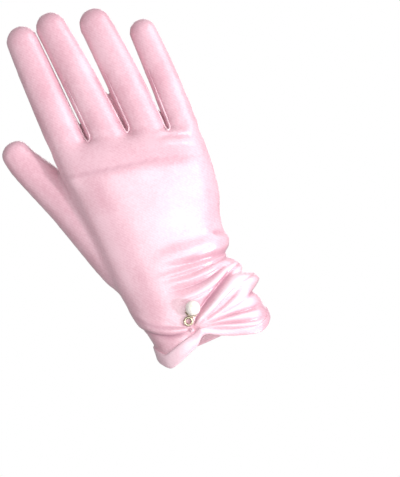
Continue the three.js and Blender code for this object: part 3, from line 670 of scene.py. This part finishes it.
def remeshed(form):
    """One skin over a form of several parts, open at the wrist."""
    piece = link("remesh", mesh_from("remesh", *form))
    modifier = piece.modifiers.new("voxels", "REMESH")
    modifier.mode = "VOXEL"
    modifier.voxel_size = VOXEL * MM
    shape = piece.evaluated_get(bpy.context.evaluated_depsgraph_get())
    mesh = bpy.data.meshes.new_from_object(shape)
    mesh.name = "satin_hand"
    bpy.data.objects.remove(piece)
    shape = bmesh.new()
    shape.from_mesh(mesh)
    bmesh.ops.bisect_plane(shape, geom=shape.verts[:] + shape.edges[:] + shape.faces[:],
                           dist=1e-6, plane_co=(0, 0, 0), plane_no=(0, 0, 1), clear_inner=True)
    shape.to_mesh(mesh)
    shape.free()
    return mesh


def over_cuff(middle):
    return middle.z < FINE_BELOW


def over_folds(middle):
    """The folds reach less far to the thumb's side on the palm than on the back."""
    return middle.z < FINEST_BELOW and middle.x > (-16 if middle.y < 4 else 14)


def refined(mesh):
    """Halves the mesh size over the cuff, then over its folds, and returns the wrist's rim."""
    shape = bmesh.new()
    shape.from_mesh(mesh)
    for region in (over_cuff, over_folds):
        fine = {edge for face in shape.faces for edge in face.edges
                if region(face.calc_center_median() / MM)}
        fine = sorted(fine, key=lambda edge: edge.index)
        bmesh.ops.subdivide_edges(shape, edges=fine, cuts=1, use_grid_fill=True)
        shape.edges.index_update()
    shape.verts.ensure_lookup_table()
    shape.verts.index_update()
    rim = [vertex.index for vertex in shape.verts if vertex.is_boundary]
    shape.to_mesh(mesh)
    shape.free()
    return rim


def hand_mesh():
    """The smooth skin over palm, fingers and thumb, and its points."""
    mesh = remeshed(joined_form())
    points = relax(coordinates(mesh), edges_of(mesh), 6)
    set_coordinates(mesh, melted(points, edges_of(mesh)))
    rim = refined(mesh)
    points = relax(coordinates(mesh), edges_of(mesh), 4)
    points[:, 2] = np.maximum(points[:, 2], 0.0)
    points[rim, 2] = 0.0
    return mesh, spread(points, -1)


def seam_arm(finger, side, inset, middle, low):
    """Half of a seam, from the middle of the crotch up along one finger: x and z."""
    z = np.linspace(low + SEAM_BEND, low + SEAM_LENGTH, 30)
    arm = np.stack([finger_edge(finger, z, side) - side * inset, z], axis=-1)
    turn = np.radians(np.linspace(5, 85, 9))
    reach = abs(arm[0, 0] - middle)
    bend = np.stack([middle - side * reach * np.sin(turn),
                     low + SEAM_BEND * (1 - np.cos(turn))], axis=-1)
    return np.concatenate([bend, arm])


def seam_path(gap):
    """The seam round the crotch between two fingers, seen from the back: x and z."""
    a, b, (middle, low) = gap
    down = seam_arm(a, 1, SEAM_INSET[0], middle, low - SEAM_DROP)[::-1]
    return np.concatenate([down, seam_arm(b, -1, SEAM_INSET[1], middle, low - SEAM_DROP)])


def turn_at(points):
    """Angles round the hand at points of its smooth skin."""
    left, right, back, palm = section(points[:, 2])
    depth = np.where(points[:, 1] < 0, back, palm)
    across = (points[:, 0] - (left + right) / 2) * 2 / (right - left)
    return np.arctan2(powered(across, SQUARENESS / 2),
                      powered(-points[:, 1] / depth, SQUARENESS / 2))


def cuff_draped(points):
    """The skin with the cuff bent down to the hem band and its folds, and its painted highlights
    and shade.
    """
    turn = turn_at(points)
    z = points[:, 2] + (band_top(turn) - TUCK) * falling(points[:, 2], 0, BEND_LENGTH)
    low = z < FOLDS_HEIGHT + FOLDS_FADE
    painted_shading = np.zeros(len(points))
    plain = np.zeros_like(points)
    shift = np.zeros_like(points)
    plain[low] = hand_point(turn[low], z[low])
    shift[low], painted_shading[low] = folded_point(turn[low], z[low])
    shift[low] -= plain[low]
    fade = falling(z, FOLDS_HEIGHT, FOLDS_FADE)
    blend = falling(z, BLEND_HEIGHT, BLEND_LENGTH)[:, None]
    bent = np.column_stack([points[:, :2], z])
    return bent * (1 - blend) + plain * blend + shift * fade[:, None], painted_shading * fade


def on_back(y):
    """How much points at depths y belong to the back of the hand."""
    return smooth((BACK_EDGE - y) / (2 * BACK_EDGE))


def crease_knuckles(points, painted_shading):
    """Adds the creases and wrinkles of the back of the hand, with a painted highlight on the
    wrinkles and painted shade in the creases.
    """
    high = (points[:, 2] > BACK_LOW) & (points[:, 1] < BACK_EDGE)
    x, y, z = points[high].T
    rise, sink = folds(x, z, BACK_RIDGES, BACK_CREASES)
    share = on_back(y) * falling(x, 39, 7)
    points[high, 1] -= (rise - sink) * share
    # Painted highlight on the wrinkles, painted shade in the creases
    painted_shading[high] = (0.7 * np.minimum(rise, 1) - sink) * share


def groove_seams(points, painted_shading):
    """Adds the grooves beside the seams of the fourchettes, with painted shade in them."""
    near = points[:, 2] > 100
    for gap in GAPS:
        rows = [(x, z, GROOVE_WIDTH, GROOVE_DEPTH) for x, z in seam_path(gap)]
        groove = line_height(np.array(rows), points[near, 0], points[near, 2], GROOVE_POWER)
        points[near, 1] += groove * np.sign(5 - points[near, 1])
        # Painted shade in the grooves
        painted_shading[near] = np.minimum(painted_shading[near], -groove)


def sink_fingers(points):
    """Bends the fingers away from the back of the hand, all but the thumb."""
    above = points[:, 2] + DROOP_SLOPE * points[:, 0] - DROOP_HEIGHT
    step = DROOP_STEP * rising(above, -1.2, 2.4) * on_back(points[:, 1])
    sink = DROOP * (1 - (1 - np.clip(above / DROOP_LENGTH, 0, 1)) ** 3) + step
    points[:, 1] += sink * rising(points[:, 0], -49, 5)


def set_painted_shading(mesh, values):
    """Stores the points' painted shading, from painted highlight (1) to painted shade (-1), for
    the satin's colour.
    """
    mesh.attributes.new("painted_shading", "FLOAT", "POINT").data.foreach_set("value", values)


def hand_skin():
    """The finished skin of palm, fingers and thumb."""
    mesh, points = hand_mesh()
    points, painted_shading = cuff_draped(points)
    crease_knuckles(points, painted_shading)
    groove_seams(points, painted_shading)
    sink_fingers(points)
    set_coordinates(mesh, points)
    set_painted_shading(mesh, painted_shading)
    shade_smooth(mesh)
    return mesh


def thicken(piece):
    """Gives the skin the thickness of the satin, inwards."""
    cloth = piece.modifiers.new("cloth", "SOLIDIFY")
    cloth.thickness = CLOTH * MM
    cloth.offset = -1.0
    cloth.use_quality_normals = True


def hem_mesh():
    """The hem band, which stands out most on the thumb's side."""
    turn = full_turn(540)
    low, top = hem_height(turn), band_top(turn)
    lobe = smooth(0.6 - 2 * np.sin(turn))
    rows, painted_shading = [], []
    for share, grow in BAND_PROFILE:
        stand = grow * (0.5 + 0.5 * lobe) if grow > 0 else grow
        row, painted_cuff_shading = folded_point(turn, low + (top - low) * share, stand)
        rows.append(row)
        # The cuff's painted shading, and a painted highlight on the band's front on the thumb's
        # side
        painted_shading.append(painted_cuff_shading + HEM_PAINTED_HIGHLIGHT * lobe * np.clip(grow, 0, 1))
    mesh = mesh_from("satin_hem", np.concatenate(rows), quads(len(rows), len(turn), closed=True))
    set_painted_shading(mesh, np.concatenate(painted_shading))
    return mesh


def taper(count):
    """Shares along a cord of count points, 1 in its middle half and 0 at both ends."""
    return smooth(4 * (0.5 - np.abs(np.linspace(-0.5, 0.5, count))))


def cord(line, radius, first, sides=8):
    """Points and faces of a round cord along a line, closed and thinning out at both ends. Its
    points are numbered from first."""
    ahead = np.gradient(line, axis=0)
    ahead /= np.linalg.norm(ahead, axis=1)[:, None]
    across = np.cross(ahead, (0, 1, 0))
    across /= np.linalg.norm(across, axis=1)[:, None]
    over = np.cross(across, ahead)
    points = []
    for p, a, o, share in zip(line, across, over, taper(len(line))):
        points += [p + radius * (0.2 + 0.8 * share) * (math.cos(t) * a + math.sin(t) * o)
                   for t in full_turn(sides)]
    last = first + (len(line) - 1) * sides
    ends = [range(first, first + sides)[::-1], range(last, last + sides)]
    return points, quads(len(line), sides, first) + ends


def cords(name, lines, radius):
    points, faces = [], []
    for line in lines:
        more_points, more_faces = cord(line, radius, len(points))
        points += more_points
        faces += more_faces
    return link(name, mesh_from(name, points, faces))


def laid_on(tree, path, way, lift):
    """Points of a path (x, z) laid on the satin, from the back (way 1) or the palm (way -1)."""
    line = []
    for (x, z), share in zip(path, taper(len(path))):
        hit, normal, _, _ = tree.ray_cast(Vector((x, -80 * way, z)) * MM, Vector((0, way, 0)))
        if hit is not None:
            line.append(np.array(hit) / MM + lift * share * np.array(normal))
    line = np.array(line)
    for _ in range(3):
        line[1:-1] = (line[:-2] + 2 * line[1:-1] + line[2:]) / 4
    return line


def seam_welts(mesh):
    """The welts of the fourchettes' seams, on the back and on the palm."""
    tree = BVHTree.FromPolygons([v.co for v in mesh.vertices], [p.vertices for p in mesh.polygons])
    return cords("fourchette_seams", [laid_on(tree, seam_path(gap), way, SEAM_LIFT)
                                      for gap in GAPS for way in (1, -1)], SEAM_CORD)


def turned_form(name, profile, steps, place):
    """A profile of radius and height turned round the Z axis, then placed."""
    turn = full_turn(steps)
    points = [(radius * math.cos(t), radius * math.sin(t), height)
              for radius, height in profile for t in turn]
    points = np.array(points) @ np.array(place.to_3x3().transposed()) + np.array(place.translation)
    mesh = mesh_from(name, points, quads(len(profile), steps))
    shape = bmesh.new()
    shape.from_mesh(mesh)
    bmesh.ops.remove_doubles(shape, verts=shape.verts, dist=1e-7)
    bmesh.ops.recalc_face_normals(shape, faces=shape.faces)
    shape.to_mesh(mesh)
    shape.free()
    return mesh


def ring_profile(radius, wire, steps=20):
    return [(radius + wire * math.cos(t), wire * math.sin(t))
            for t in np.linspace(0, 2 * math.pi, steps + 1)]


def arc(radius, first, last, steps, lift=0.0):
    return [(radius * math.sin(a), radius * math.cos(a) + lift)
            for a in np.radians(np.linspace(first, last, steps))]


def placed(middle, along_z, along_x=Vector((0, 1, 0))):
    """A frame at a point, with its Z axis along a direction."""
    z = Vector(along_z).normalized()
    x = (along_x - along_x.dot(z) * z).normalized()
    turned = Matrix((x, z.cross(x), z)).transposed().to_4x4()
    return Matrix.Translation(Vector(middle)) @ turned


def joined(name, meshes):
    shape = bmesh.new()
    for mesh in meshes:
        shape.from_mesh(mesh)
        bpy.data.meshes.remove(mesh)
    whole = bpy.data.meshes.new(name)
    shape.to_mesh(whole)
    shape.free()
    return link(name, whole)


DROP_AXIS = Vector(CAP_EYE) - Vector(PEARL_MIDDLE)
ALONG_DROP = placed(PEARL_MIDDLE, DROP_AXIS)


def drop_pearl():
    ball = turned_form("ball", arc(PEARL_RADIUS, 0, 180, 40), 64, ALONG_DROP)
    return joined("drop_pearl", [ball])


def cup_profile():
    """The cap's cup: its hollow over the pearl, its rim, its back and its small neck."""
    inner = PEARL_RADIUS + CAP_GAP
    rim = ((inner + 0.55) * math.sin(math.radians(43)),
           inner * math.cos(math.radians(42)) + 0.05)
    neck = [(1.05, inner + 0.85), (0.8, inner + 1.0), (0.85, inner + 1.12),
            (0.6, inner + 1.2), (0.3, inner + 1.2)]
    profile = arc(inner, 8, 40, 10) + [rim] + arc(inner + 0.75, 40, 14, 9, 0.1) + neck
    return profile + profile[:1]


def drop_cap():
    """The pearl's cap: a cup with beads round its rim and an eye over its neck."""
    beads = []
    for t in full_turn(BEAD_COUNT):
        rim = Vector((BEAD_CIRCLE * math.cos(t), BEAD_CIRCLE * math.sin(t), BEAD_HEIGHT))
        beads.append(turned_form("bead", arc(BEAD_RADIUS, 0, 180, 8), 12,
                                 placed(ALONG_DROP @ rim, DROP_AXIS)))
    across = DROP_AXIS.cross(Vector((0, 1, 0))).cross(DROP_AXIS)
    eye = turned_form("eye", ring_profile(EYE_RADIUS, EYE_WIRE), 32,
                      placed(CAP_EYE, across, DROP_AXIS))
    return joined("drop_cap", [turned_form("cup", cup_profile(), 48, ALONG_DROP), eye] + beads)


def drop_ring():
    """The jump ring, flat on the satin."""
    place = placed(RING_MIDDLE, (0, 1, 0), Vector((1, 0, 0)))
    return joined("drop_ring", [turned_form("ring", ring_profile(RING_RADIUS, RING_WIRE), 64,
                                            place)])


def material(name, base, roughness, **values):
    """A new material with values of its shader's sockets."""
    made = bpy.data.materials.new(name)
    made.use_nodes = True
    tree = made.node_tree
    shader = tree.nodes["Principled BSDF"]
    shader.inputs["Base Color"].default_value = (*base, 1.0)
    shader.inputs["Roughness"].default_value = roughness
    for socket, value in values.items():
        shader.inputs[socket.replace("_", " ")].default_value = value
    return made, tree, shader


def add(tree, kind, links, **values):
    """A node with what its sockets are linked to, its settings and its other sockets' values."""
    node = tree.nodes.new(kind)
    for name, value in values.items():
        if hasattr(node, name):
            setattr(node, name, value)
        else:
            node.inputs[name.replace("_", " ")].default_value = value
    for socket, source in links.items():
        tree.links.new(source, node.inputs[socket])
    return node


def maths(tree, operation, *terms):
    """The result of an operation on terms, each a number or the output of a node."""
    node = add(tree, "ShaderNodeMath", {}, operation=operation)
    for socket, term in zip(node.inputs, terms):
        if isinstance(term, float):
            socket.default_value = term
        else:
            tree.links.new(term, socket)
    return node.outputs["Value"]


def ramp(tree, factor, stops):
    """A colour ramp over a factor, its stops being places and colours."""
    node = add(tree, "ShaderNodeValToRGB", {"Fac": factor})
    elements = node.color_ramp.elements
    while len(elements) < len(stops):
        elements.new(0.5)
    for element, (place, colour) in zip(elements, stops):
        element.position = place
        element.color = (*colour, 1.0)
    return node.outputs["Color"]


def object_place(tree):
    return tree.nodes.new("ShaderNodeTexCoord").outputs["Object"]


def twill(tree, place):
    """The diagonal lines of the weave."""
    turned = add(tree, "ShaderNodeMapping", {"Vector": place},
                 Rotation=(0.0, math.radians(38), 0.0))
    return add(tree, "ShaderNodeTexWave", {"Vector": turned.outputs["Vector"]},
               bands_direction="X", Scale=240.0, Distortion=2.0, Detail=2.0,
               Detail_Scale=3.0).outputs["Fac"]


def noise(tree, place, **values):
    return add(tree, "ShaderNodeTexNoise", {"Vector": place}, **values).outputs["Fac"]


def satin_tone(tree, base, weave, grain, cloud):
    """The base colour, uneven in soft patches and in its weave and grain."""
    woven = maths(tree, "MULTIPLY_ADD", weave, WEAVE_SHARE, grain)
    evened = maths(tree, "SUBTRACT", woven, GRAIN_LEVEL)
    patches = maths(tree, "MULTIPLY_ADD", evened, GRAIN_SHARE, cloud)
    dusky, pale = (np.multiply(base, shares) for shares in (SATIN_DUSKY, SATIN_PALE))
    return ramp(tree, patches, [(0.55, dusky), (1.0, pale)])


def painted_fold_shading(tree, tone):
    """A painted highlight on the crests of the folds, painted shade in the creases, and the
    satin's tone elsewhere.
    """
    # The points' painted shading picks painted shade or painted highlight and how much of it
    painted_shading = add(tree, "ShaderNodeAttribute", {}, attribute_name="painted_shading").outputs["Fac"]
    place = add(tree, "ShaderNodeMapRange", {"Value": painted_shading}, From_Min=-1.0).outputs["Result"]
    colour = ramp(tree, place, [(0.45, PAINTED_SHADE_COLOUR), (0.55, PAINTED_HIGHLIGHT_COLOUR)])
    share = maths(tree, "MULTIPLY", maths(tree, "ABSOLUTE", painted_shading), PAINTED_SHADING_SHARE)
    mixed = add(tree, "ShaderNodeMix", {}, data_type="RGBA")
    tree.links.new(share, mixed.inputs["Factor"])
    tree.links.new(tone, mixed.inputs[MIX_FROM])
    tree.links.new(colour, mixed.inputs[MIX_TO])
    return mixed.outputs[MIX_RESULT]


def satin_material(name, base):
    """Satin with a diagonal twill, slightly uneven in tone, with painted highlights on the crests
    of its folds and painted shade in its creases.
    """
    made, tree, shader = material(name, base, SATIN_ROUGHNESS, Sheen_Weight=0.35,
                                  Sheen_Roughness=0.4, Specular_IOR_Level=1.0)
    place = object_place(tree)
    weave = twill(tree, place)
    cloud = noise(tree, place, Scale=48.0, Detail=3.0)
    grain = noise(tree, place, Scale=700.0, Detail=1.0)
    tone = painted_fold_shading(tree, satin_tone(tree, base, weave, grain, cloud))
    tree.links.new(tone, shader.inputs["Base Color"])
    height = maths(tree, "MULTIPLY_ADD", weave, WEAVE_HEIGHT, grain)
    bump = add(tree, "ShaderNodeBump", {"Height": height}, Strength=0.24, Distance=0.0002)
    tree.links.new(bump.outputs["Normal"], shader.inputs["Normal"])
    return made


def metal_material():
    """Pale gold, tarnished in small spots."""
    made, tree, shader = material("drop_metal", GOLD, 0.3, Metallic=0.85)
    tarnish = noise(tree, object_place(tree), Scale=1500.0, Detail=2.0)
    tree.links.new(ramp(tree, tarnish, GOLD_STOPS), shader.inputs["Base Color"])
    return made


def pearl_material():
    """Cream nacre with faint clouds of green and rose under a clear coat."""
    made, tree, shader = material("pearl_nacre", NACRE, 0.28, Coat_Weight=0.8,
                                  Coat_Roughness=0.06)
    cloud = noise(tree, object_place(tree), Scale=330.0, Detail=2.0, Distortion=1.2)
    tree.links.new(ramp(tree, cloud, NACRE_STOPS), shader.inputs["Base Color"])
    return made


def dress(piece, paint):
    piece.data.materials.append(paint)
    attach(piece, "root")


satin = satin_material("pink_satin", SATIN)
hand = link("satin_hand", hand_skin())
thicken(hand)
dress(hand, satin)
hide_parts("hand_shell", "thumb_shell", "finger_index", "finger_middle", "finger_ring",
            "finger_little", "fourchette_index_middle", "fourchette_middle_ring",
            "fourchette_ring_little")

hem = link("satin_hem", hem_mesh())
dress(hem, satin)
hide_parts("hem_band")

seams = seam_welts(hand.data)
# The welts get the paler satin, a painted highlight
dress(seams, satin_material("welt", WELT_PAINTED_HIGHLIGHT))

metal = metal_material()
for piece, paint, node, slot in ((drop_pearl(), pearl_material(), "pearl", "pearl"),
                                 (drop_cap(), metal, "pearl_cap", "drop_metal"),
                                 (drop_ring(), metal, "jump_ring", "drop_metal")):
    dress(piece, paint)
    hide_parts(node)

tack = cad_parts["gather_tack"]
tack.data.materials.clear()
tack.data.materials.append(material("thread", THREAD, 0.6)[0])

# The photograph's angle: the hand leans 25 degrees to the left. The distances of the camera and
# the lights, and the sizes of the lights, are metres.
LEAN = math.radians(25)
TARGET = Vector((18.27, 0, 53.38)) * MM
DISTANCE = 1.5
RIGHT = Vector((math.cos(LEAN), 0, -math.sin(LEAN)))
UP = Vector((math.sin(LEAN), 0, math.cos(LEAN)))
FRONT = Vector((0, -1, 0))
FLOOR_HALF = 300.0
FLOOR_HEIGHT = -560.0


def aimed(right, up, back, away):
    """The place of a camera or light so far away from the hand, and looking at it."""
    turned = Matrix((right, up, back)).transposed().to_4x4()
    return Matrix.Translation(TARGET + away * back) @ turned


def photo_camera():
    data = bpy.data.cameras.new("camera")
    data.sensor_width = 36.0
    data.sensor_fit = "HORIZONTAL"
    data.lens = 225.0
    data.clip_end = 10.0
    camera = link("camera", data)
    camera.matrix_world = aimed(RIGHT, UP, FRONT, DISTANCE)
    return camera


def pale_floor():
    """A plain floor, slightly bright of its own so that it stays pale far from the lights."""
    corners = [(x * FLOOR_HALF, y * FLOOR_HALF, FLOOR_HEIGHT)
               for x, y in ((-1, -1), (1, -1), (1, 1), (-1, 1))]
    floor = link("floor", mesh_from("floor", corners, [(0, 1, 2, 3)]))
    paint, _, _ = material("floor", (0.9, 0.89, 0.88), 0.7,
                           Emission_Color=(1.0, 0.99, 0.98, 1.0), Emission_Strength=0.45)
    floor.data.materials.append(paint)
    return floor


def studio_world():
    """A white surround that lights softly."""
    world = bpy.data.worlds.new("studio")
    world.use_nodes = True
    tree = world.node_tree
    surround = tree.nodes["Background"]
    surround.inputs["Color"].default_value = (1.0, 0.97, 0.98, 1)
    surround.inputs["Strength"].default_value = 0.27
    backdrop = add(tree, "ShaderNodeBackground", {}, Color=(1, 1, 1, 1), Strength=1.0)
    seen = tree.nodes.new("ShaderNodeLightPath").outputs["Is Camera Ray"]
    mixed = add(tree, "ShaderNodeMixShader", {"Fac": seen, 1: surround.outputs["Background"],
                                              2: backdrop.outputs["Background"]})
    tree.links.new(mixed.outputs["Shader"], tree.nodes["World Output"].inputs["Surface"])
    return world


def soft_box(name, aside, up, away, width, height, power):
    """A soft box towards the hand's right and up by those angles, its width along the hand."""
    data = bpy.data.lights.new(name, "AREA")
    data.shape = "RECTANGLE"
    data.size, data.size_y = width, height
    data.energy = power
    aside, up = math.radians(aside), math.radians(up)
    ahead = Vector((math.cos(up) * math.sin(aside), -math.cos(up) * math.cos(aside), math.sin(up)))
    across = Vector((math.cos(aside), math.sin(aside), 0))
    link(name, data).matrix_world = aimed(across, ahead.cross(across), ahead, away)


bpy.context.scene.camera = photo_camera()
pale_floor()
bpy.context.scene.world = studio_world()
soft_box("front_box", 17, 0, 1.4, 2.2, 0.32, 16.2)
soft_box("back_box", 172, 15, 1.5, 1.2, 1.2, 9.0)
soft_box("left_box", -60, 5, 1.2, 0.7, 1.0, 1.9)
soft_box("rim_box", 68, 28, 0.9, 0.6, 0.7, 3.2)
soft_box("key", 42, -28, 1.2, 0.1, 0.1, 8.5)
bpy.context.scene.view_settings.view_transform = "Standard"
